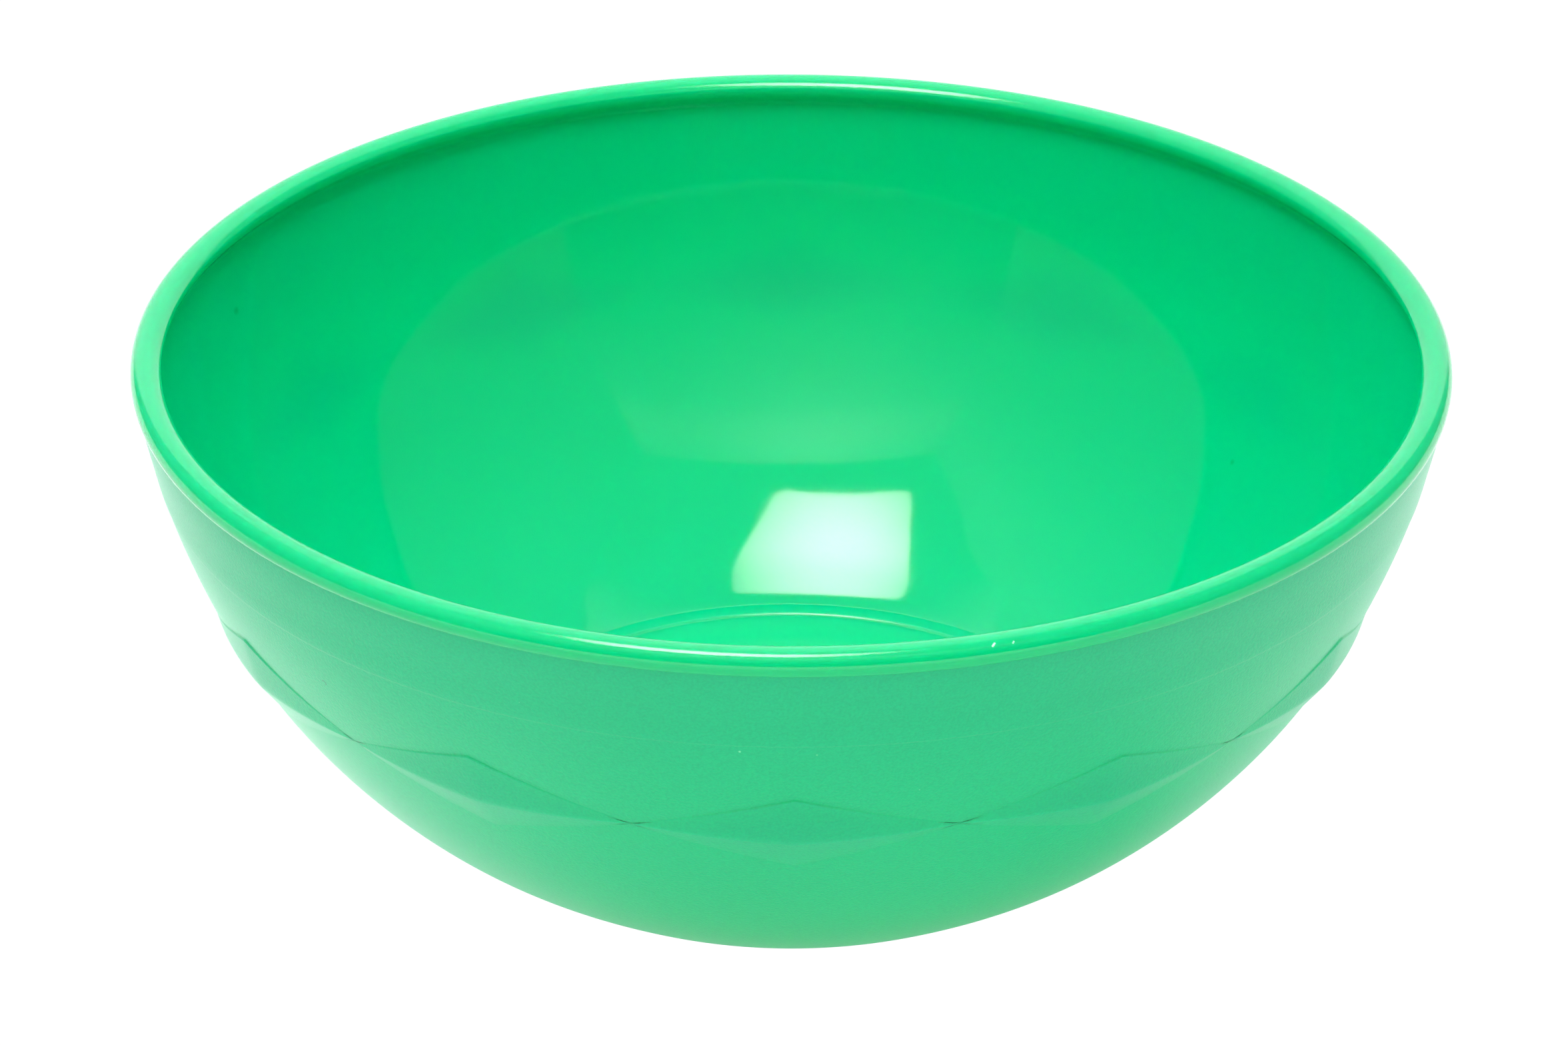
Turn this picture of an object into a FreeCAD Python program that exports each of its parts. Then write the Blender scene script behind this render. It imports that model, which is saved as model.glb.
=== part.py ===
import FreeCAD, Part
import math
import os
from FreeCAD import Vector

# Round mixing bowl, a single injection moulding in rigid plastic.
# Frame: origin on the bowl's axis, in the plane it stands on, +Z up.
# One diamond boss faces -Y. All sizes in millimetres.

# ---- driving dimensions -------------------------------------------------
RIM_OUTER_D = 300.0        # outside diameter over the lip
TOP_Z = 116.24             # height of the lip's highest line
LIP_OUT_R = 3.2            # lip section: radius of its outer side
LIP_TOP_R = 4.2            # of its broad top
LIP_IN_R = 1.0             # of its inner corner
LIP_UNDER_R = 3.0          # of its underside, inside the bowl
LIP_TILT = (20, -52, -80, -130)   # where those arcs meet, degrees from straight up
PARTING_Z = 111.0          # mould parting edge, just under the lip, outside
PARTING_R = 148.96         # radius of the wall at the parting edge
LIP_NECK_R = 2.2           # inside blend from lip to wall

FLOOR_Z = 2.9              # top of the floor inside
FLOOR_EDGE_R = 72.9        # radius where the flat floor ends
STEP_FOOT_R = 1.2          # shallow step round the floor: hollow at its foot,
STEP_DEG = 40.0            # steepest slope,
STEP_TOP_R = 1.0           # rounding at its top
LEDGE_DEG = 6.5            # and the narrow ledge behind it
LEDGE_W = 2.95
LEDGE_BLEND_R = 2.0        # blend from ledge to wall
BASE_EDGE_R = 77.01        # where wall and standing plane would meet, sharp
BASE_CORNER_R = 3.0        # rounding of that edge
BASE_WALL_DEG = 33.3       # wall's slope above the standing plane there
FOOT_INNER_R = 70.0        # inner edge of the standing ring
RECESS = 0.7               # depth of the underside's recessed disc
GATE_R = 3.0               # moulding gate's disc in the middle of the recess
GATE_H = 0.35

LINE_Z = 91.65             # fine step line round the outside
LINE_STEP = 0.19           # how far it leans out,
LINE_H = 0.4               # and over what height

# outside of the wall, radius and height, base to step line
OUTER = [(81.52, 3.0), (87.29, 7.0), (93.92, 12.0), (101.97, 19.0),
         (109.88, 27.0), (116.72, 35.0), (122.64, 43.0), (127.72, 51.0),
         (132.11, 59.0), (135.90, 67.0), (139.19, 75.0), (142.09, 83.0),
         (144.80, LINE_Z)]
# outside of the wall above the step line, up to the parting edge
OUTER_TOP = [(146.60, 99.0), (147.93, 105.0)]
# inside of the wall, from below the lip to the ledge round the floor
INNER_TOP_DEG = 9.8        # draft of the inside just under the lip
INNER_TOP = (145.46, 111.0)
INNER = [(143.17, 99.0), (141.25, 91.0), (138.98, 83.0), (136.22, 75.0),
         (132.91, 67.0), (128.99, 59.0), (124.46, 51.0), (119.27, 43.0),
         (113.30, 35.0), (106.40, 27.0), (98.20, 19.0), (89.85, 12.0),
         (82.65, 7.0)]
INNER_BASE_DEG = 30.0      # wall's slope inside where that blend starts

BOSS_COUNT = 12            # diamond bosses in one row, corner to corner
BOSS_Z = 64.74             # height of the diamonds' side corners
BOSS_HALF_H = 10.9         # half their height
BOSS_APEX_Z = 64.2         # height of the apex
BOSS_PROUD = 2.0           # how far the apex stands out of the wall
BOSS_ROOT = 1.2            # how deep the boss is rooted in the wall
# --------------------------------------------------------------------------


def v(r, z):
    return Vector(r, 0, z)


def line(a, b):
    return Part.LineSegment(a, b).toShape()


def arc3(a, m, b):
    return Part.Arc(a, m, b).toShape()


def spline(points, t0, t1):
    c = Part.BSplineCurve()
    c.interpolate(Points=points, InitialTangent=t0, FinalTangent=t1)
    return c


# base edge: standing plane to wall, rounded
wd = Vector(math.cos(math.radians(BASE_WALL_DEG)), 0, math.sin(math.radians(BASE_WALL_DEG)))
tl = BASE_CORNER_R * math.tan(math.radians(BASE_WALL_DEG) / 2)
base_a = v(BASE_EDGE_R - tl, 0)
base_b = v(BASE_EDGE_R, 0) + wd * tl
mid = math.radians(BASE_WALL_DEG) / 2
base_m = v(base_a.x + BASE_CORNER_R * math.sin(mid), BASE_CORNER_R * (1 - math.cos(mid)))

# outside wall, lower and upper
outer_pts = [base_b] + [v(*p) for p in OUTER]
t_end = v(*OUTER[-1]) - v(*OUTER[-2])
t_end.normalize()
outer_lo = spline(outer_pts, wd, Vector(math.sin(math.radians(16.4)), 0, math.cos(math.radians(16.4))))
line_a = outer_pts[-1]
line_b = v(OUTER[-1][0] + LINE_STEP, LINE_Z + LINE_H)
outer_hi_pts = [line_b] + [v(*p) for p in OUTER_TOP] + [v(PARTING_R, PARTING_Z)]
outer_hi = spline(outer_hi_pts,
                  Vector(math.sin(math.radians(15.6)), 0, math.cos(math.radians(15.6))),
                  Vector(math.sin(math.radians(7.8)), 0, math.cos(math.radians(7.8))))

# lip: four arcs from the parting edge over the top to the neck inside
def nrm(deg):
    return Vector(math.sin(math.radians(deg)), 0, math.cos(math.radians(deg)))


t20, t52, t80, t130 = LIP_TILT
s20 = math.sin(math.radians(t20))
top = v(RIM_OUTER_D / 2 - LIP_OUT_R * (1 - s20) - LIP_TOP_R * s20, TOP_Z)
c_top = top - nrm(0) * LIP_TOP_R
p20 = c_top + nrm(t20) * LIP_TOP_R
c_out = p20 - nrm(t20) * LIP_OUT_R
lip_a = v(c_out.x + math.sqrt(LIP_OUT_R ** 2 - (c_out.z - PARTING_Z) ** 2), PARTING_Z)
p52 = c_top + nrm(t52) * LIP_TOP_R
c_in = p52 - nrm(t52) * LIP_IN_R
p80 = c_in + nrm(t80) * LIP_IN_R
c_un = p80 - nrm(t80) * LIP_UNDER_R
p130 = c_un + nrm(t130) * LIP_UNDER_R
a = math.radians(INNER_TOP_DEG)
wdir = Vector(-math.sin(a), 0, -math.cos(a))
P0 = v(*INNER_TOP)
d1 = Vector(-math.cos(math.radians(t130)), 0, math.sin(math.radians(t130)))
# where the underside's line meets the wall's
k = (P0.x - p130.x - (P0.z - p130.z) * wdir.x / wdir.z) / (d1.x - d1.z * wdir.x / wdir.z)
meet = p130 + d1 * k
turn = d1.getAngle(wdir)
tl2 = LIP_NECK_R * math.tan(turn / 2)
neck_lip = meet - d1 * tl2
neck_wall = meet + wdir * tl2
Fc = neck_lip + nrm(t130) * LIP_NECK_R
nm = ((neck_wall - Fc).normalize() + (neck_lip - Fc).normalize()).normalize()
neck_m = Fc + nm * LIP_NECK_R
inner_straight = P0 + wdir * (6.0 / math.cos(a))

# inside at the bottom: floor, shallow step, narrow ledge, blend to the wall
def up(deg):
    return Vector(-math.sin(math.radians(deg)), 0, math.cos(math.radians(deg)))


f0 = v(FLOOR_EDGE_R, FLOOR_Z)
cf1 = f0 + up(0) * STEP_FOOT_R
f1 = cf1 - up(STEP_DEG) * STEP_FOOT_R
cf2 = f1 - up(STEP_DEG) * STEP_TOP_R
f2 = cf2 + up(LEDGE_DEG) * STEP_TOP_R
f3 = f2 + Vector(LEDGE_W, 0, LEDGE_W * math.tan(math.radians(LEDGE_DEG)))
cf4 = f3 + up(LEDGE_DEG) * LEDGE_BLEND_R
f4 = cf4 - up(INNER_BASE_DEG) * LEDGE_BLEND_R
fa = math.radians(INNER_BASE_DEG)
inner_pts = [inner_straight] + [v(*p) for p in INNER] + [f4]
inner = spline(inner_pts, wdir, Vector(-math.cos(fa), 0, -math.sin(fa)))

edges = [
    line(v(0, RECESS - GATE_H), v(GATE_R - 0.5, RECESS - GATE_H)),
    line(v(GATE_R - 0.5, RECESS - GATE_H), v(GATE_R, RECESS)),
    line(v(GATE_R, RECESS), v(FOOT_INNER_R - 0.6, RECESS)),
    line(v(FOOT_INNER_R - 0.6, RECESS), v(FOOT_INNER_R, 0)),
    line(v(FOOT_INNER_R, 0), base_a),
    arc3(base_a, base_m, base_b),
    outer_lo.toShape(),
    line(line_a, line_b),
    outer_hi.toShape(),
    line(v(PARTING_R, PARTING_Z), lip_a),
    arc3(lip_a, c_out + nrm(70) * LIP_OUT_R, p20),
    arc3(p20, top, p52),
    arc3(p52, c_in + nrm((t52 + t80) / 2) * LIP_IN_R, p80),
    arc3(p80, c_un + nrm((t80 + t130) / 2) * LIP_UNDER_R, p130),
    line(p130, neck_lip),
    arc3(neck_lip, neck_m, neck_wall),
    line(neck_wall, inner_straight),
    inner.toShape(),
    arc3(f4, cf4 - up((LEDGE_DEG + INNER_BASE_DEG) / 2) * LEDGE_BLEND_R, f3),
    line(f3, f2),
    arc3(f2, cf2 + up((LEDGE_DEG + STEP_DEG) / 2) * STEP_TOP_R, f1),
    arc3(f1, cf1 - up(STEP_DEG / 2) * STEP_FOOT_R, f0),
    line(f0, v(0, FLOOR_Z)),
    line(v(0, FLOOR_Z), v(0, RECESS - GATE_H)),
]
wire = Part.Wire(edges)
shell = Part.Face(wire).revolve(Vector(0, 0, 0), Vector(0, 0, 1), 360)
shell = Part.Solid(shell) if shell.ShapeType != "Solid" else shell


# ---- diamond bosses ------------------------------------------------------
def wall_at(z, off):
    """Point of the outside wall at height z, moved out by off along its normal."""
    u0, u1 = outer_lo.FirstParameter, outer_lo.LastParameter
    for _ in range(50):
        um = (u0 + u1) / 2
        if outer_lo.value(um).z < z:
            u0 = um
        else:
            u1 = um
    p = outer_lo.value(um)
    t = outer_lo.tangent(um)[0]
    n = Vector(t.z, 0, -t.x)
    if n.x < 0:
        n = n * -1
    return p + n * off


def section(az, sink=0.03):
    """Five-cornered radial section of a diamond, az degrees from its middle."""
    k = 1 - abs(az) / (180.0 / BOSS_COUNT)
    zu = BOSS_Z + BOSS_HALF_H * k
    zl = BOSS_Z - BOSS_HALF_H * k
    zr = BOSS_Z + (BOSS_APEX_Z - BOSS_Z) * k
    pts = [wall_at(zu, -sink), wall_at(zr, BOSS_PROUD * k), wall_at(zl, -sink),
           wall_at(zl, -BOSS_ROOT), wall_at(zu, -BOSS_ROOT)]
    w = Part.makePolygon(pts + [pts[0]])
    w.rotate(Vector(0, 0, 0), Vector(0, 0, 1), -90 + az)
    return w


half = 180.0 / BOSS_COUNT
stations = [0.0, half * 0.25, half * 0.5, half * 0.75, half * 0.985]
right = Part.makeLoft([section(s) for s in stations], True, False)
left = Part.makeLoft([section(-s) for s in stations], True, False)
boss = right.fuse(left)

bosses = []
for i in range(BOSS_COUNT):
    b = boss.copy()
    b.rotate(Vector(0, 0, 0), Vector(0, 0, 1), 360.0 / BOSS_COUNT * i)
    bosses.append(b)
bowl = shell.fuse(bosses)
bowl = bowl.removeSplitter()
solid = bowl.Solids[0]
print("solids", len(bowl.Solids), "valid", solid.isValid(), "volume cm3", round(solid.Volume / 1000, 1),
      "faces", len(solid.Faces), "bbox", solid.BoundBox)

os.makedirs("parts", exist_ok=True)
solid.exportStep("parts/bowl.step")
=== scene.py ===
import math

import bpy
import numpy as np
from mathutils import Matrix, Vector


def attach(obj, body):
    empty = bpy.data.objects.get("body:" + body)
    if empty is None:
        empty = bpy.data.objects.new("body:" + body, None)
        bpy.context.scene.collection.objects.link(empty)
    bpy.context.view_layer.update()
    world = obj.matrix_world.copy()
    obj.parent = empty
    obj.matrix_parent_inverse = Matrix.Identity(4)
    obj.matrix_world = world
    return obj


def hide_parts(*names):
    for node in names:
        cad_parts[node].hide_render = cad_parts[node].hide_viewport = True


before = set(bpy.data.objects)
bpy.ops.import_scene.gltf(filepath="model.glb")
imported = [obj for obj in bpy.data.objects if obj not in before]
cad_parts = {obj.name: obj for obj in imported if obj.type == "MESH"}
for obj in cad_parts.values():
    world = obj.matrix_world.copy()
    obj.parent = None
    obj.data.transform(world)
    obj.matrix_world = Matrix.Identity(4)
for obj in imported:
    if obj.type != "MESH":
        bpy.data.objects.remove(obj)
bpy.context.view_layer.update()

# ---------------------------------------------------------------------------
# sizes of the bowl, in millimetres, in the CAD frame
# ---------------------------------------------------------------------------
RIM_R, TOP_Z = 149.985, 116.23
LIP_OUT_R, LIP_TOP_R, LIP_IN_R, LIP_UNDER_R = 3.2, 4.2, 1.0, 3.0
LIP_TILT = (20, -52, -80, -130)
PART_Z, PART_R = 111.0, 148.96
NECK_R = 2.2
FLOOR_Z, FLOOR_EDGE = 2.9, 72.9
STEP_FOOT_R, STEP_DEG, STEP_TOP_R = 1.2, 40.0, 1.0
LEDGE_DEG, LEDGE_W, LEDGE_BLEND_R = 6.5, 2.95, 2.0
BASE_EDGE_R, BASE_CORNER, BASE_DEG = 77.01, 3.0, 33.3
FOOT_IN, RECESS, GATE_R, GATE_H = 70.0, 0.7, 3.0, 0.35
LINE_Z, LINE_STEP, LINE_H = 91.65, 0.19, 0.4
OUTER = [(81.52, 3.0), (87.29, 7.0), (93.92, 12.0), (101.97, 19.0),
         (109.88, 27.0), (116.72, 35.0), (122.64, 43.0), (127.72, 51.0),
         (132.11, 59.0), (135.90, 67.0), (139.19, 75.0), (142.09, 83.0),
         (144.80, LINE_Z)]
OUTER_TOP = [(146.60, 99.0), (147.93, 105.0)]
INNER = [(143.17, 99.0), (141.25, 91.0), (138.98, 83.0), (136.22, 75.0),
         (132.91, 67.0), (128.99, 59.0), (124.46, 51.0), (119.27, 43.0),
         (113.30, 35.0), (106.40, 27.0), (98.20, 19.0), (89.85, 12.0),
         (82.65, 7.0)]
INNER_TOP, INNER_TOP_DEG = (145.46, 111.0), 9.8
INNER_DEG = 30.0
N_BOSS, BOSS_Z, BOSS_H, BOSS_APEX_Z, BOSS_OUT = 12, 64.74, 10.9, 64.2, 2.0
COLS = 40                       # mesh columns per boss
NAZ = N_BOSS * COLS


def clamped_spline(points, t0, t1, n):
    """Cubic curve through the points with unit end tangents, n samples."""
    P = np.array(points, float)
    L = np.concatenate([[0], np.cumsum(np.hypot(*np.diff(P, axis=0).T))])
    h = np.diff(L)
    m = len(P)
    A = np.zeros((m, m))
    out = []
    for k in range(2):
        y = P[:, k]
        A[:] = 0
        b = np.zeros(m)
        A[0, 0] = A[-1, -1] = 1
        b[0], b[-1] = t0[k], t1[k]
        for i in range(1, m - 1):
            A[i, i - 1] = h[i]
            A[i, i] = 2 * (h[i - 1] + h[i])
            A[i, i + 1] = h[i - 1]
            b[i] = 3 * (h[i] * (y[i] - y[i - 1]) / h[i - 1] + h[i - 1] * (y[i + 1] - y[i]) / h[i])
        d = np.linalg.solve(A, b)
        s = np.linspace(0, L[-1], n)
        j = np.clip(np.searchsorted(L, s, side="right") - 1, 0, m - 2)
        t = (s - L[j]) / h[j]
        y0, y1, d0, d1, hh = y[j], y[j + 1], d[j], d[j + 1], h[j]
        out.append((2 * t ** 3 - 3 * t ** 2 + 1) * y0 + (t ** 3 - 2 * t ** 2 + t) * hh * d0
                   + (-2 * t ** 3 + 3 * t ** 2) * y1 + (t ** 3 - t ** 2) * hh * d1)
    return np.stack(out, -1)


def arc(c, r, a0, a1, n):
    a = np.radians(np.linspace(a0, a1, n))
    return np.stack([c[0] + r * np.cos(a), c[1] + r * np.sin(a)], -1)


rad = math.radians
wd = (math.cos(rad(BASE_DEG)), math.sin(rad(BASE_DEG)))
tl = BASE_CORNER * math.tan(rad(BASE_DEG) / 2)
base_a = (BASE_EDGE_R - tl, 0.0)
base_b = (BASE_EDGE_R + wd[0] * tl, wd[1] * tl)
outer = clamped_spline([base_b] + OUTER, wd, (math.sin(rad(16.4)), math.cos(rad(16.4))), 2000)
outer_top = clamped_spline([(OUTER[-1][0] + LINE_STEP, LINE_Z + LINE_H)] + OUTER_TOP + [(PART_R, PART_Z)],
                           (math.sin(rad(15.6)), math.cos(rad(15.6))),
                           (math.sin(rad(7.8)), math.cos(rad(7.8))), 400)

# lip: four arcs over the top, then the neck down to the inside wall
def nrm(deg):
    return np.array([math.sin(rad(deg)), math.cos(rad(deg))])


t20, t52, t80, t130 = LIP_TILT
s20 = math.sin(rad(t20))
c_top = np.array([RIM_R - LIP_OUT_R * (1 - s20) - LIP_TOP_R * s20, TOP_Z - LIP_TOP_R])
c_out = c_top + nrm(t20) * (LIP_TOP_R - LIP_OUT_R)
c_in = c_top + nrm(t52) * (LIP_TOP_R - LIP_IN_R)
c_un = c_in + nrm(t80) * (LIP_IN_R - LIP_UNDER_R)
p130 = c_un + nrm(t130) * LIP_UNDER_R
ia = rad(INNER_TOP_DEG)
wdir = np.array([-math.sin(ia), -math.cos(ia)])
P0 = np.array(INNER_TOP)
d1 = np.array([-math.cos(rad(t130)), math.sin(rad(t130))])
k_ = (P0[0] - p130[0] - (P0[1] - p130[1]) * wdir[0] / wdir[1]) / (d1[0] - d1[1] * wdir[0] / wdir[1])
meet = p130 + d1 * k_
tl2 = NECK_R * math.tan(math.acos(float(d1 @ wdir)) / 2)
neck_lip, neck_wall = meet - d1 * tl2, meet + wdir * tl2
Fc = neck_lip + nrm(t130) * NECK_R
inner_straight = P0 + wdir * (6.0 / math.cos(ia))
fa = rad(INNER_DEG)


def up_(deg):
    return np.array([-math.sin(rad(deg)), math.cos(rad(deg))])


f0 = np.array([FLOOR_EDGE, FLOOR_Z])
cf1 = f0 + up_(0) * STEP_FOOT_R
f1 = cf1 - up_(STEP_DEG) * STEP_FOOT_R
cf2 = f1 - up_(STEP_DEG) * STEP_TOP_R
f2 = cf2 + up_(LEDGE_DEG) * STEP_TOP_R
f3 = f2 + np.array([LEDGE_W, LEDGE_W * math.tan(rad(LEDGE_DEG))])
cf4 = f3 + up_(LEDGE_DEG) * LEDGE_BLEND_R
f4 = cf4 - up_(INNER_DEG) * LEDGE_BLEND_R
inner = clamped_spline([tuple(inner_straight)] + INNER + [tuple(f4)], tuple(wdir),
                       (-math.cos(fa), -math.sin(fa)), 2000)


def at_z(curve, z):
    c = curve if curve[0, 1] < curve[-1, 1] else curve[::-1]
    return np.interp(z, c[:, 1], c[:, 0])


def normal_at(curve, z, out=True):
    c = curve if curve[0, 1] < curve[-1, 1] else curve[::-1]
    g = np.gradient(c, axis=0)
    g /= np.linalg.norm(g, axis=1)[:, None]
    tr, tz = np.interp(z, c[:, 1], g[:, 0]), np.interp(z, c[:, 1], g[:, 1])
    n = np.stack([tz, -tr], -1)
    return n if out else -n


def dress(rz):
    return np.array(rz, float)


# ---------------------------------------------------------------------------
# rings of the bowl's skin, from the middle of the underside, out and up the
# outside, over the lip, and down the inside to the middle of the floor.
# Each ring is (r, z) arrays over the azimuth, and a finish: 0 satin, 1 gloss
# ---------------------------------------------------------------------------
az = np.arange(NAZ) * 2 * math.pi / NAZ          # 0 faces -Y, towards +X
u = np.abs(((np.arange(NAZ) + COLS // 2) % COLS) - COLS // 2) / (COLS / 2)   # 0 at a peak, 1 between
one = np.ones(NAZ)
rings, finish = [], []


def ring(r, z, f):
    rings.append((np.broadcast_to(np.asarray(r, float), (NAZ,)).copy(),
                  np.broadcast_to(np.asarray(z, float), (NAZ,)).copy()))
    finish.append(f)


SAT, GLO, LIP = 0, 1, 2
zg = RECESS - GATE_H
for r_, z_ in [(0.35, zg + 0.02), (1.2, zg), (2.2, zg), (2.42, zg + 0.03), (2.8, RECESS - 0.04), (3.05, RECESS)]:
    ring(r_, z_, SAT)
for r_ in (4.5, 8, 14, 20, 28, 36, 44, 52, 60, 66, 68.6):
    ring(r_, RECESS, SAT)
for r_, z_ in [(69.2, RECESS - 0.02), (69.5, RECESS - 0.12), (69.85, 0.14), (70.1, 0.02), (70.6, 0.0), (72.5, 0.0), (74.8, 0.0)]:
    ring(r_, z_, SAT)
for p in arc((base_a[0], BASE_CORNER), BASE_CORNER, -90, -90 + BASE_DEG, 7):
    ring(p[0], p[1], SAT)

# below the bosses
for z_ in np.linspace(base_b[1] + 0.7, 48.0, 30):
    ring(at_z(outer, z_), z_, SAT)

# the band of bosses: rings follow the creases of the diamonds
GAP = 0.18
hh = BOSS_H * (1 - u) + GAP                    # half height of the diamond at each column
zu, zl = BOSS_Z + hh, BOSS_Z - hh
zr = BOSS_Z + (BOSS_APEX_Z - BOSS_Z) * (1 - u)


def boss_h(z):
    """Height of the boss over the wall, ridges softly rounded."""
    v = np.where(z > zr, (z - zr) / np.maximum(zu - zr, 1e-6), (zr - z) / np.maximum(zr - zl, 1e-6))
    # round the ridge along the middle and the ridges through the apex
    k = 0.035
    soft_v = np.sqrt(v * v + k * k) - k
    soft_u = np.sqrt(u * u + k * k * 1.2) - k * 1.1
    x = np.clip(1 - soft_v, 0, None)
    x = np.where(z > zr, x ** 1.15, x * x * 1.12 / (x + 0.12))
    return BOSS_OUT * np.clip((1 - soft_u) * x, 0, None) * (hh - GAP > 0.001)


def put(z, h, f=SAT):
    r0 = at_z(outer, z)
    n = normal_at(outer, z)
    ring(r0 + n[:, 0] * h, z + n[:, 1] * h, f)


STEP_UP = 0.3                                  # little ledge where a boss starts at its upper edge
ledge = STEP_UP * np.clip(1 - u, 0, 1) ** 1.1


def boss_full(z):
    """Boss with its ledge; the ledge runs out towards the lower edge."""
    v = np.clip((zr - z) / np.maximum(zr - zl, 1e-6), 0, 1)
    return boss_h(z) * (1 - ledge / BOSS_OUT) + ledge * (1 - v) ** 2


def band(z0, z1, n, ease):
    t = np.linspace(0, 1, n + 1)
    t = t ** ease if ease > 0 else 1 - (1 - t) ** (-ease)
    return [z0 + (z1 - z0) * a for a in t]


edge = 0.28
for z_ in band(48.0 * one, zl - edge, 9, -1.35)[1:]:
    put(z_, 0 * one)
put(zl, 0 * one)
t = np.linspace(0, 1, 12)[1:-1]
inner_lo = [zl + edge * np.minimum(1, hh / 2 / edge) * 0.9] + [zl + (zr - zl) * a for a in t[1:]]
for z_ in inner_lo:
    put(z_, boss_full(z_))
put(zr, boss_full(zr))
small = np.minimum(1, hh / 0.6)
for z_ in [zr + (zu - zr) * a for a in t[:-1]] + [zu - 0.30 * small, zu - 0.15 * small]:
    put(z_, boss_full(z_))
put(zu + 0.02 * small, ledge * 0.12)
put(zu + 0.09 * small, 0 * one)
for z_ in band(zu + edge, 80.0 * one, 9, 1.35)[:-1]:
    put(z_, 0 * one)
for z_ in np.linspace(80.0, 91.3, 8):
    ring(at_z(outer, z_), z_, SAT)

# fine step line round the outside
for d_, z_ in ((-0.045, -0.15), (0.0, 0.0), (0.055, 0.12), (0.13, 0.27), (0.185, 0.39)):
    ring(OUTER[-1][0] + d_, LINE_Z + z_, SAT)
for z_ in [LINE_Z + 0.5, LINE_Z + 0.9] + list(np.linspace(LINE_Z + 1.8, PART_Z - 0.5, 14)):
    ring(at_z(outer_top, z_), z_, SAT)
ring(PART_R - 0.03, PART_Z - 0.2, SAT)

# mould parting edge, then the round lip
tilt_edge = 90 + math.degrees(math.asin((c_out[1] - PART_Z) / LIP_OUT_R))
edge_r = c_out[0] + LIP_OUT_R * math.sin(rad(tilt_edge))
ring(PART_R + 0.01, PART_Z - 0.04, SAT)
ring(PART_R + 0.10, PART_Z - 0.005, LIP)
ring(edge_r - 0.05, PART_Z + 0.0, LIP)


def lip_arc(c, r_, t0, t1, n, f=LIP):
    for t in np.linspace(t0, t1, n + 1)[1:]:
        p = c + nrm(t) * r_
        ring(p[0], p[1], f)


ring(*(c_out + nrm(tilt_edge - 1.2) * LIP_OUT_R), LIP)
lip_arc(c_out, LIP_OUT_R, tilt_edge - 1.2, t20, 22)
lip_arc(c_top, LIP_TOP_R, t20, t52, 22)
lip_arc(c_in, LIP_IN_R, t52, -62, 3)
lip_arc(c_in, LIP_IN_R, -62, t80, 4, GLO)
lip_arc(c_un, LIP_UNDER_R, t80, t130, 12, GLO)
ring(*((p130 + neck_lip) / 2), GLO)
a0 = math.degrees(math.atan2(neck_lip[1] - Fc[1], neck_lip[0] - Fc[0]))
a1 = math.degrees(math.atan2(neck_wall[1] - Fc[1], neck_wall[0] - Fc[0]))
for p in arc(Fc, NECK_R, a0, a1, 10):
    ring(p[0], p[1], GLO)
for z_ in np.linspace(neck_wall[1], inner_straight[1], 5)[1:-1]:
    ring(INNER_TOP[0] - (INNER_TOP[1] - z_) * math.tan(ia), z_, GLO)


# faint sink marks inside, behind the bosses
def sink(z):
    v = (z - BOSS_Z) / BOSS_H
    d = np.clip(1 - (u ** 2 * 0.9 + v ** 2), 0, 1)
    return 0.035 * d ** 1.5


for p in inner[np.linspace(0, 1999, 84).astype(int)]:
    z_ = p[1] * one
    n = normal_at(inner, z_, out=False)
    s = -sink(z_)
    ring(p[0] + n[:, 0] * s, z_ + n[:, 1] * s, GLO)
for t in np.linspace(INNER_DEG, LEDGE_DEG, 7)[1:]:
    ring(*(cf4 - up_(t) * LEDGE_BLEND_R), GLO)
ring(*((f3 + f2) / 2), GLO)
for t in np.linspace(LEDGE_DEG, STEP_DEG, 9):
    ring(*(cf2 + up_(t) * STEP_TOP_R), GLO)
for t in np.linspace(STEP_DEG, 0, 11)[1:]:
    ring(*(cf1 - up_(t) * STEP_FOOT_R), GLO)
for r_ in (72.6, 71.5, 69, 66, 60, 54, 48, 42, 36, 30, 24, 18, 12, 7, 3, 0.8):
    ring(r_, FLOOR_Z, GLO)

# ---------------------------------------------------------------------------
nr = len(rings)
R = np.array([q[0] for q in rings]) / 1000
Z = np.array([q[1] for q in rings]) / 1000
X = R * np.sin(az)[None, :]
Y = -R * np.cos(az)[None, :]
verts = np.stack([X, Y, Z], -1).reshape(-1, 3)
centre_under = len(verts)
verts = np.concatenate([verts, [[0, 0, (zg + 0.02) / 1000], [0, 0, FLOOR_Z / 1000]]])
faces, mats = [], []
for i in range(nr - 1):
    pair = (finish[i], finish[i + 1])
    f = SAT if SAT in pair else LIP if LIP in pair else GLO
    a, b = i * NAZ, (i + 1) * NAZ
    for j in range(NAZ):
        k = (j + 1) % NAZ
        faces.append((a + j, a + k, b + k, b + j))
        mats.append(f)
for j in range(NAZ):
    k = (j + 1) % NAZ
    faces.append((j, centre_under, k))
    mats.append(0)
    faces.append(((nr - 1) * NAZ + j, (nr - 1) * NAZ + k, centre_under + 1))
    mats.append(1)
mesh = bpy.data.meshes.new("bowl_skin")
mesh.from_pydata([tuple(p) for p in verts], [], faces)
mesh.update()
mesh.polygons.foreach_set("material_index", mats)
mesh.polygons.foreach_set("use_smooth", [True] * len(faces))
mesh.validate()
bowl = bpy.data.objects.new("bowl_skin", mesh)
bpy.context.collection.objects.link(bowl)

# faces point outwards
import bmesh
bm = bmesh.new()
bm.from_mesh(mesh)
bmesh.ops.recalc_face_normals(bm, faces=bm.faces)
bm.to_mesh(mesh)
bm.free()


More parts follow.
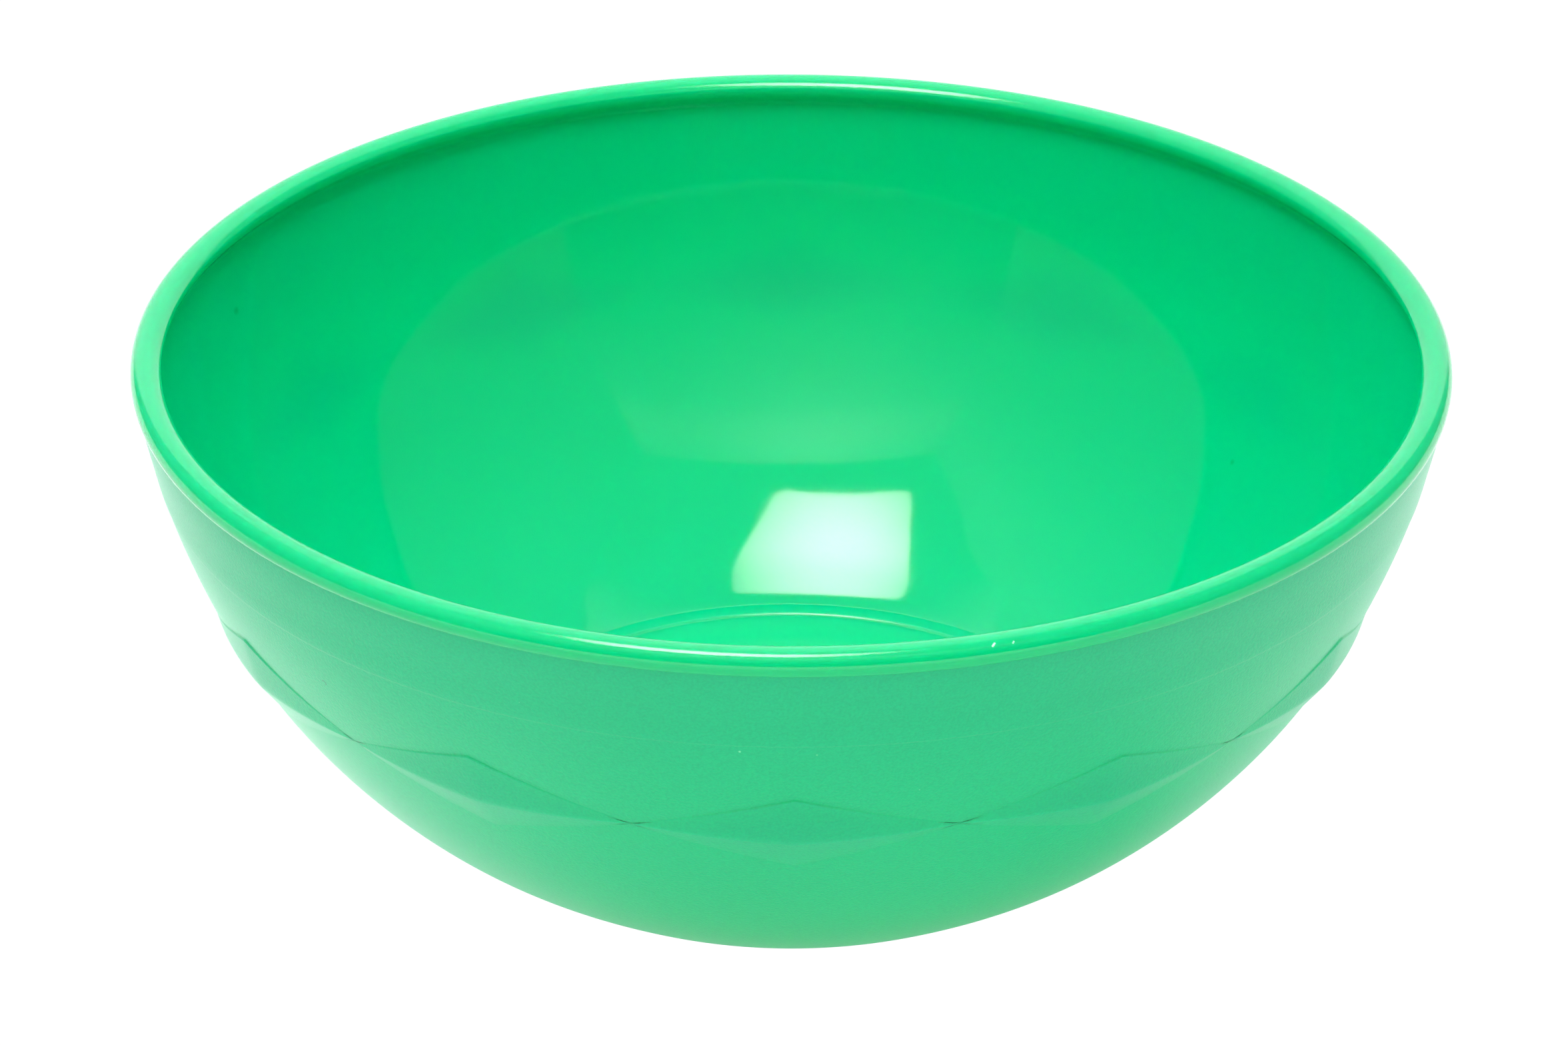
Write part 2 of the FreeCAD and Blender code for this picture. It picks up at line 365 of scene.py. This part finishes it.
# ---------------------------------------------------------------------------
# materials
# ---------------------------------------------------------------------------
def new_mat(name):
    m = bpy.data.materials.new(name)
    m.use_nodes = True
    nt = m.node_tree
    return m, nt, nt.nodes["Principled BSDF"]


def noise(nt, coord, scale, detail=2.0, rough=0.5):
    n = nt.nodes.new("ShaderNodeTexNoise")
    n.inputs["Scale"].default_value = scale
    n.inputs["Detail"].default_value = detail
    n.inputs["Roughness"].default_value = rough
    nt.links.new(coord, n.inputs["Vector"])
    return n


def mrange(nt, src, a, b, c, d):
    n = nt.nodes.new("ShaderNodeMapRange")
    n.inputs["From Min"].default_value, n.inputs["From Max"].default_value = a, b
    n.inputs["To Min"].default_value, n.inputs["To Max"].default_value = c, d
    nt.links.new(src, n.inputs["Value"])
    return n.outputs["Result"]


def mix_color(nt, fac, a, b):
    n = nt.nodes.new("ShaderNodeMix")
    n.data_type = "RGBA"
    if isinstance(fac, float):
        n.inputs[0].default_value = fac
    else:
        nt.links.new(fac, n.inputs[0])
    for s, v_ in ((6, a), (7, b)):
        if isinstance(v_, tuple):
            n.inputs[s].default_value = v_
        else:
            nt.links.new(v_, n.inputs[s])
    return n.outputs[2]


def spots(nt, coord, col, marks, colour, soft=0.4):
    """Small round marks on the surface: (x, y, z, radius, strength), millimetres."""
    fac = None
    for x, y, z, r, k in marks:
        d = nt.nodes.new("ShaderNodeVectorMath")
        d.operation = "DISTANCE"
        nt.links.new(coord, d.inputs[0])
        d.inputs[1].default_value = (x / 1000, y / 1000, z / 1000)
        m = mrange(nt, d.outputs["Value"], r / 1000, r * soft / 1000, 0.0, k)
        if fac is not None:
            q = nt.nodes.new("ShaderNodeMath")
            q.operation = "MAXIMUM"
            nt.links.new(fac, q.inputs[0])
            nt.links.new(m, q.inputs[1])
            m = q.outputs[0]
        fac = m
    return mix_color(nt, fac, col, colour)


# light specks, a faint scratch and a short dark curl outside; two dark dots inside; two nicks on the lip, their
# near-white colour a painted glint
SPECKS = [(-11.7, -143.9, 90.2, 0.36, 1.0), (4.41, -144.1, 89.5, 0.30, 0.5), (26.1, -137.6, 77.3, 0.22, 0.5),
          (-13.8, -133.1, 62.1, 0.24, 0.8), (-57.8, -134.1, 96.5, 0.20, 0.4), (-50.9, -119.9, 55.4, 0.20, 0.4)]
SCRATCH = [(0.36 + i * 0.28, -137.76 - 0.032 * i, 71.36 + 0.092 * i, 0.24, 0.22) for i in range(20)]
CURL = [(x, y, z, 0.24, 0.8) for x, y, z in ((-101.72, -98.67, 81.6), (-101.6, -98.72, 81.72), (-101.45, -98.85, 81.78), (-101.3, -98.97, 81.72),
                                             (-101.12, -99.1, 81.55), (-100.97, -99.2, 81.35), (-100.92, -99.12, 81.05), (-100.95, -99.0, 80.8))]
DOTS = [(-131.2, 55.2, 95.5, 1.2, 0.5), (-131.3, 54.7, 95.6, 1.1, 0.5), (107.4, 62.8, 51.0, 0.95, 0.45)]
NICK_GLINTS = [(40.57, -143.5, 115.17, 0.30, 0.85), (40.75, -143.25, 115.33, 0.34, 0.9), (40.95, -143.0, 115.5, 0.30, 0.85), (44.82, -142.25, 115.22, 0.25, 0.7),
         (44.95, -142.0, 115.38, 0.25, 0.7)]

GREEN = (0.0, 0.605, 0.262, 1)
GREEN_DEEP = (0.0, 0.585, 0.250, 1)
# painted shading: bluer tint that stands in for the light the lower inside gets
GREEN_LOW_PAINTED_SHADING = (0.0, 0.60, 0.292, 1)
# painted sheen: whiter tint for the floor inside
FLOOR_PAINTED_SHEEN = (0.010, 0.59, 0.285, 1)
SATIN = (0.0, 0.67, 0.312, 1)
SATIN_DEEP = (0.0, 0.65, 0.298, 1)
LIP_GREEN = (0.0, 0.545, 0.225, 1)
LIP_DEEP = (0.0, 0.53, 0.216, 1)

gloss, nt, bs = new_mat("bowl_gloss")
tc = nt.nodes.new("ShaderNodeTexCoord")
big = noise(nt, tc.outputs["Object"], 9.0, 3.0)
col = mix_color(nt, mrange(nt, big.outputs["Fac"], 0.35, 0.65, 0.0, 1.0), GREEN_DEEP, GREEN)
sep = nt.nodes.new("ShaderNodeSeparateXYZ")
nt.links.new(tc.outputs["Object"], sep.inputs[0])
# painted shading: the inside is tinted bluer towards the bottom for the light it gets there
col = mix_color(nt, mrange(nt, sep.outputs["Z"], 0.085, 0.015, 0.0, 1.0), col, GREEN_LOW_PAINTED_SHADING)
# painted sheen: the floor inside is painted a little whiter
col = mix_color(nt, mrange(nt, sep.outputs["Z"], 0.0036, 0.0029, 0.0, 1.0), col, FLOOR_PAINTED_SHEEN)
col = spots(nt, tc.outputs["Object"], col, DOTS, (0.0, 0.34, 0.11, 1.0), 0.15)
nt.links.new(col, bs.inputs["Base Color"])
fine = noise(nt, tc.outputs["Object"], 60.0, 4.0)
rgh = mrange(nt, fine.outputs["Fac"], 0.3, 0.7, 0.045, 0.07)
for z0_, z1_, add in ((0.0039, 0.0034, 0.18), (0.0032, 0.0029, -0.12)):
    q = nt.nodes.new("ShaderNodeMath")
    q.operation = "ADD"
    nt.links.new(rgh, q.inputs[0])
    nt.links.new(mrange(nt, sep.outputs["Z"], z0_, z1_, 0.0, add), q.inputs[1])
    rgh = q.outputs[0]
nt.links.new(rgh, bs.inputs["Roughness"])
bs.inputs["IOR"].default_value = 1.5
bs.inputs["Subsurface Weight"].default_value = 1.0
bs.inputs["Subsurface Radius"].default_value = (0.35, 1.0, 0.75)
bs.inputs["Subsurface Scale"].default_value = 0.005
wav = noise(nt, tc.outputs["Object"], 45.0, 1.0)
bump = nt.nodes.new("ShaderNodeBump")
bump.inputs["Strength"].default_value = 0.06
bump.inputs["Distance"].default_value = 0.0006
nt.links.new(wav.outputs["Fac"], bump.inputs["Height"])
nt.links.new(bump.outputs["Normal"], bs.inputs["Normal"])

lipmat, nt, bs = new_mat("bowl_lip")
tc = nt.nodes.new("ShaderNodeTexCoord")
big = noise(nt, tc.outputs["Object"], 9.0, 3.0)
col = mix_color(nt, mrange(nt, big.outputs["Fac"], 0.35, 0.65, 0.0, 1.0), LIP_DEEP, LIP_GREEN)
# painted highlight: the nicks on the lip are painted near-white for the glint they catch
nt.links.new(spots(nt, tc.outputs["Object"], col, NICK_GLINTS, (0.75, 1.0, 0.9, 1.0)), bs.inputs["Base Color"])
fine = noise(nt, tc.outputs["Object"], 900.0, 2.0, 0.6)
nt.links.new(mrange(nt, fine.outputs["Fac"], 0.3, 0.7, 0.10, 0.17), bs.inputs["Roughness"])
bs.inputs["IOR"].default_value = 1.5
bs.inputs["Subsurface Weight"].default_value = 1.0
bs.inputs["Subsurface Radius"].default_value = (0.35, 1.0, 0.75)
bs.inputs["Subsurface Scale"].default_value = 0.016
bump = nt.nodes.new("ShaderNodeBump")
bump.inputs["Strength"].default_value = 0.12
bump.inputs["Distance"].default_value = 0.0002
nt.links.new(fine.outputs["Fac"], bump.inputs["Height"])
nt.links.new(bump.outputs["Normal"], bs.inputs["Normal"])

satin, nt, bs = new_mat("bowl_satin")
tc = nt.nodes.new("ShaderNodeTexCoord")
big = noise(nt, tc.outputs["Object"], 12.0, 3.0)
col = mix_color(nt, mrange(nt, big.outputs["Fac"], 0.35, 0.65, 0.0, 1.0), SATIN_DEEP, SATIN)
grain = noise(nt, tc.outputs["Object"], 1500.0, 3.0, 0.65)
col = mix_color(nt, mrange(nt, grain.outputs["Fac"], 0.3, 0.7, 0.17, -0.03), col, (0.0, 0.22, 0.11, 1.0))
col = spots(nt, tc.outputs["Object"], col, SPECKS + SCRATCH, (0.22, 0.88, 0.55, 1.0))
col = spots(nt, tc.outputs["Object"], col, CURL, (0.0, 0.26, 0.14, 1.0))
nt.links.new(col, bs.inputs["Base Color"])
nt.links.new(mrange(nt, big.outputs["Fac"], 0.3, 0.7, 0.28, 0.32), bs.inputs["Roughness"])
bs.inputs["IOR"].default_value = 1.5
bs.inputs["Subsurface Weight"].default_value = 1.0
bs.inputs["Subsurface Radius"].default_value = (0.35, 1.0, 0.75)
bs.inputs["Subsurface Scale"].default_value = 0.005
bump = nt.nodes.new("ShaderNodeBump")
bump.inputs["Strength"].default_value = 0.9
bump.inputs["Distance"].default_value = 0.00012
nt.links.new(grain.outputs["Fac"], bump.inputs["Height"])
nt.links.new(bump.outputs["Normal"], bs.inputs["Normal"])

mesh.materials.append(satin)
mesh.materials.append(gloss)
mesh.materials.append(lipmat)

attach(bowl, "root")
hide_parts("bowl")


# ---------------------------------------------------------------------------
# stage: floor, soft lights
# ---------------------------------------------------------------------------
def quad(name, corners, strength_nodes, camera=False):
    m = bpy.data.meshes.new(name)
    m.from_pydata(corners, [], [tuple(range(len(corners)))])
    o = bpy.data.objects.new(name, m)
    bpy.context.collection.objects.link(o)
    mt = bpy.data.materials.new(name)
    mt.use_nodes = True
    n = mt.node_tree
    n.nodes.clear()
    out = n.nodes.new("ShaderNodeOutputMaterial")
    em = n.nodes.new("ShaderNodeEmission")
    n.links.new(em.outputs[0], out.inputs["Surface"])
    strength_nodes(n, em)
    m.materials.append(mt)
    o.visible_camera = camera
    o.visible_shadow = False
    return o


def constant(v_):
    def f(n, em):
        em.inputs["Strength"].default_value = v_
    return f


def wall(stops, axis, centre, sigma, base):
    """Brightness rises with height by stops, and falls off sideways from centre."""
    def f(n, em):
        g = n.nodes.new("ShaderNodeNewGeometry")
        sx = n.nodes.new("ShaderNodeSeparateXYZ")
        n.links.new(g.outputs["Position"], sx.inputs[0])
        ramp = n.nodes.new("ShaderNodeValToRGB")
        mr = mrange(n, sx.outputs["Z"], 0.111, 1.311, 0.0, 1.0)
        n.links.new(mr, ramp.inputs["Fac"])
        els = ramp.color_ramp.elements
        top = max(s[1] for s in stops)
        els[0].position, els[1].position = stops[0][0], stops[-1][0]
        els[0].color = (stops[0][1] / top,) * 3 + (1,)
        els[1].color = (stops[-1][1] / top,) * 3 + (1,)
        for p, s in stops[1:-1]:
            e = els.new(p)
            e.color = (s / top,) * 3 + (1,)

        def math_(op, a, b=None):
            q = n.nodes.new("ShaderNodeMath")
            q.operation = op
            for i, v_ in enumerate((a, b)):
                if v_ is None:
                    continue
                if isinstance(v_, (int, float)):
                    q.inputs[i].default_value = v_
                else:
                    n.links.new(v_, q.inputs[i])
            return q.outputs[0]
        d = math_("SUBTRACT", sx.outputs[axis], centre)
        d = math_("DIVIDE", d, sigma)
        d = math_("MULTIPLY", d, d)
        d = math_("MULTIPLY", d, -1.0)
        d = math_("EXPONENT", d)
        d = math_("MULTIPLY_ADD", d, 1 - base)
        n.nodes[-1].inputs[2].default_value = base
        d = math_("MULTIPLY", d, ramp.outputs["Color"])
        d = math_("MULTIPLY", d, top)
        n.links.new(d, em.inputs["Strength"])
    return f


H = 1.311
W = 0.72
SOFT = 16.0
soft_outline = [(47, -506), (9, -519), (-30, -511), (-106, -500), (-182, -491), (-298, -478), (-462, -466),
                (-502, -450), (-507, -428), (-491, -351), (-474, -263), (-451, -171), (-428, -97), (-407, -21),
                (-400, 20), (-394, 60), (-361, 73), (-298, 53), (-204, 30), (-112, 15), (-21, 3), (70, 1), (162, 4),
                (180, 3), (194, -10), (195, -32), (186, -90), (173, -205), (150, -315), (118, -399), (80, -463), (60, -497)]


def soft_glow(n, em):
    """Brightest over its middle, as a cloth-fronted lamp is."""
    g = n.nodes.new("ShaderNodeNewGeometry")
    mp = n.nodes.new("ShaderNodeMapping")
    mp.vector_type = "TEXTURE"
    mp.inputs["Location"].default_value = (-0.176, -0.243, 0)
    mp.inputs["Scale"].default_value = (0.683, 0.765, 1e6)
    n.links.new(g.outputs["Position"], mp.inputs["Vector"])
    dot = n.nodes.new("ShaderNodeVectorMath")
    dot.operation = "DOT_PRODUCT"
    n.links.new(mp.outputs["Vector"], dot.inputs[0])
    n.links.new(mp.outputs["Vector"], dot.inputs[1])
    last = dot.outputs["Value"]
    for op, k in (("MULTIPLY", -1.0), ("EXPONENT", None), ("MULTIPLY", 46.0), ("ADD", -28.0)):
        q = n.nodes.new("ShaderNodeMath")
        q.operation = op
        n.links.new(last, q.inputs[0])
        if k is not None:
            q.inputs[1].default_value = k
        last = q.outputs[0]
    n.links.new(last, em.inputs["Strength"])


quad("softbox", [(x_ / 1000, y_ / 1000, 1.301) for x_, y_ in soft_outline], soft_glow)
front = [(0.0, 0.05), (0.06, 0.06), (0.12, 0.075), (0.17, 0.10), (0.22, 0.15), (0.28, 0.26), (0.35, 0.32), (0.42, 0.49),
         (0.48, 0.64), (0.555, 0.82), (0.64, 1.0), (0.71, 1.45), (0.79, 1.8), (0.85, 1.7), (1.0, 1.4)]
quad("panel_front", [(-0.75, -0.69, 0.111), (0.75, -0.69, 0.111), (0.75, -0.69, H), (-0.75, -0.69, H)],
     wall(front, "X", -0.12, 0.38, 0.42))
left = [(0.0, 0.17), (0.2, 0.2), (0.4, 0.3), (0.65, 0.5), (0.8, 0.65), (1.0, 0.65)]
quad("panel_left", [(-W, -0.69, 0.111), (-W, 0.9, 0.111), (-W, 0.9, H), (-W, -0.69, H)],
     wall(left, "Y", 0.0, 1.2, 0.6))
right = [(0.0, 0.16), (0.2, 0.18), (0.4, 0.24), (0.65, 0.32), (1.0, 0.3)]
quad("panel_right", [(W, -0.69, 0.111), (W, 0.9, 0.111), (W, 0.9, H), (W, -0.69, H)],
     wall(right, "Y", 0.0, 1.2, 0.6))
def top_glow(n, em):
    """Dim between the lamps, brighter behind the bowl."""
    g = n.nodes.new("ShaderNodeNewGeometry")
    sx = n.nodes.new("ShaderNodeSeparateXYZ")
    n.links.new(g.outputs["Position"], sx.inputs[0])
    n.links.new(mrange(n, sx.outputs["Y"], 0.10, 0.50, 0.32, 1.3), em.inputs["Strength"])


quad("panel_top", [(-2.5, -0.69, H), (2.5, -0.69, H), (2.5, 2.0, H), (-2.5, 2.0, H)], top_glow)
quad("panel_back", [(-2.5, 1.6, 0.0), (2.5, 1.6, 0.0), (2.5, 1.6, H), (-2.5, 1.6, H)], constant(1.2))

fill = quad("overhead_fill", [(-0.5, -0.6, 1.306), (0.5, -0.6, 1.306), (0.5, 0.4, 1.306), (-0.5, 0.4, 1.306)], constant(1.1))
fill.visible_glossy = False
fill = quad("front_fill", [(-0.7, -0.68, 0.12), (0.7, -0.68, 0.12), (0.7, -0.68, 1.25), (-0.7, -0.68, 1.25)], constant(0.35))
fill.visible_glossy = False


def sheet(name, half, z, n):
    m = bpy.data.meshes.new(name)
    m.from_pydata([(-half, -half, z), (half, -half, z), (half, half, z), (-half, half, z)], [], [(0, 1, 2, 3)])
    o = bpy.data.objects.new(name, m)
    bpy.context.collection.objects.link(o)
    mt = bpy.data.materials.new(name)
    mt.use_nodes = True
    n(mt.node_tree)
    m.materials.append(mt)
    return o


def floor_seen(nt):
    nt.nodes.clear()
    out = nt.nodes.new("ShaderNodeOutputMaterial")
    mix = nt.nodes.new("ShaderNodeMixShader")
    geo = nt.nodes.new("ShaderNodeNewGeometry")
    em = nt.nodes.new("ShaderNodeEmission")
    tr = nt.nodes.new("ShaderNodeBsdfTransparent")
    em.inputs["Strength"].default_value = 1.05
    nt.links.new(geo.outputs["Backfacing"], mix.inputs[0])
    nt.links.new(em.outputs[0], mix.inputs[1])
    nt.links.new(tr.outputs[0], mix.inputs[2])
    nt.links.new(mix.outputs[0], out.inputs["Surface"])


def floor_glow(nt):
    """Light coming back from the table: full out in the open, less close to the bowl."""
    nt.nodes.clear()
    out = nt.nodes.new("ShaderNodeOutputMaterial")
    em = nt.nodes.new("ShaderNodeEmission")
    geo = nt.nodes.new("ShaderNodeNewGeometry")
    sx = nt.nodes.new("ShaderNodeSeparateXYZ")
    nt.links.new(geo.outputs["Position"], sx.inputs[0])

    def m2(op, a, b=0.0):
        q = nt.nodes.new("ShaderNodeMath")
        q.operation = op
        for i, v_ in enumerate((a, b)):
            if isinstance(v_, (int, float)):
                q.inputs[i].default_value = v_
            else:
                nt.links.new(v_, q.inputs[i])
        return q.outputs[0]
    # soft shadow close to the bowl, front and right, tinted by the light the bowl lets through
    def bell(axis, centre, width, amount, power=2):
        d = m2("DIVIDE", m2("SUBTRACT", sx.outputs[axis], centre), width)
        d = m2("MULTIPLY", d, d)
        if power == 4:
            d = m2("MULTIPLY", d, d)
        return m2("MULTIPLY", m2("EXPONENT", m2("MULTIPLY", d, -1.0)), amount)
    shade = m2("MULTIPLY", bell("X", 0.030, 0.115, 1.0, 4), m2("ADD", bell("Y", -0.10, 0.125, 0.64), bell("Y", -0.095, 0.03, 0.36)))
    shade = m2("ADD", shade, m2("MULTIPLY", bell("X", 0.085, 0.035, 0.25), bell("Y", -0.09, 0.035, 1.0)))
    nt.links.new(mix_color(nt, shade, (1.0, 1.0, 1.0, 1.0), (0.34, 0.62, 0.43, 1.0)), em.inputs["Color"])
    front_ = mrange(nt, sx.outputs["Y"], -0.60, -0.35, 0.7, 0.0)
    back_ = mrange(nt, sx.outputs["Y"], -0.05, 0.15, 0.0, 0.5)
    left_ = m2("MULTIPLY", mrange(nt, sx.outputs["X"], -0.15, -0.08, 0.5, 0.0), mrange(nt, sx.outputs["X"], -0.22, -0.14, 0.0, 1.0))
    left_ = m2("MULTIPLY", left_, mrange(nt, sx.outputs["Y"], -0.10, -0.035, 0.0, 1.0))
    nt.links.new(m2("ADD", m2("ADD", front_, back_), m2("ADD", left_, 1.05)), em.inputs["Strength"])
    nt.links.new(em.outputs[0], out.inputs["Surface"])


seen = sheet("floor_seen", 30.0, -0.0001, floor_seen)
seen.visible_diffuse = seen.visible_glossy = seen.visible_transmission = False
seen.visible_shadow = False
glow = sheet("floor_glow", 3.0, -0.0002, floor_glow)
glow.visible_camera = False
glow.visible_shadow = False

world = bpy.data.worlds.new("studio")
bpy.context.scene.world = world
world.use_nodes = True
bg = world.node_tree.nodes["Background"]
bg.inputs["Color"].default_value = (1, 1, 1, 1)
bg.inputs["Strength"].default_value = 0.9

# ---------------------------------------------------------------------------
# camera
# ---------------------------------------------------------------------------
cam_data = bpy.data.cameras.new("camera")
cam = bpy.data.objects.new("camera", cam_data)
bpy.context.collection.objects.link(cam)
cam_data.sensor_width = 36.0
cam_data.lens = 136.41
cam_data.clip_start, cam_data.clip_end = 0.05, 100
ELEV, DIST = rad(26.361), 1.3554
YAW, PITCH, ROLL, PHI = rad(0.065), rad(-1.612), rad(-0.212), rad(0.494)
Cp = Vector((0, -DIST * math.cos(ELEV), DIST * math.sin(ELEV)))
fwd = (-Cp).normalized()
right_ = Vector((1, 0, 0))
up = right_.cross(fwd)
f2 = Matrix.Rotation(YAW, 3, up) @ fwd
r2 = Matrix.Rotation(YAW, 3, up) @ right_
f3 = Matrix.Rotation(PITCH, 3, r2) @ f2
u3 = Matrix.Rotation(PITCH, 3, r2) @ up
r4 = Matrix.Rotation(ROLL, 3, f3) @ r2
u4 = Matrix.Rotation(ROLL, 3, f3) @ u3
turn = Matrix.Rotation(-PHI, 3, "Z")
M = Matrix.Identity(4)
for c_, v_ in enumerate((r4, u4, -f3)):
    v_ = turn @ v_
    for q_ in range(3):
        M[q_][c_] = v_[q_]
loc = turn @ Cp + Vector((0, 0, PART_Z / 1000))
for q_ in range(3):
    M[q_][3] = loc[q_]
cam.matrix_world = M
bpy.context.scene.camera = cam
bpy.context.scene.view_settings.view_transform = "Standard"
bpy.context.scene.view_settings.look = "None"
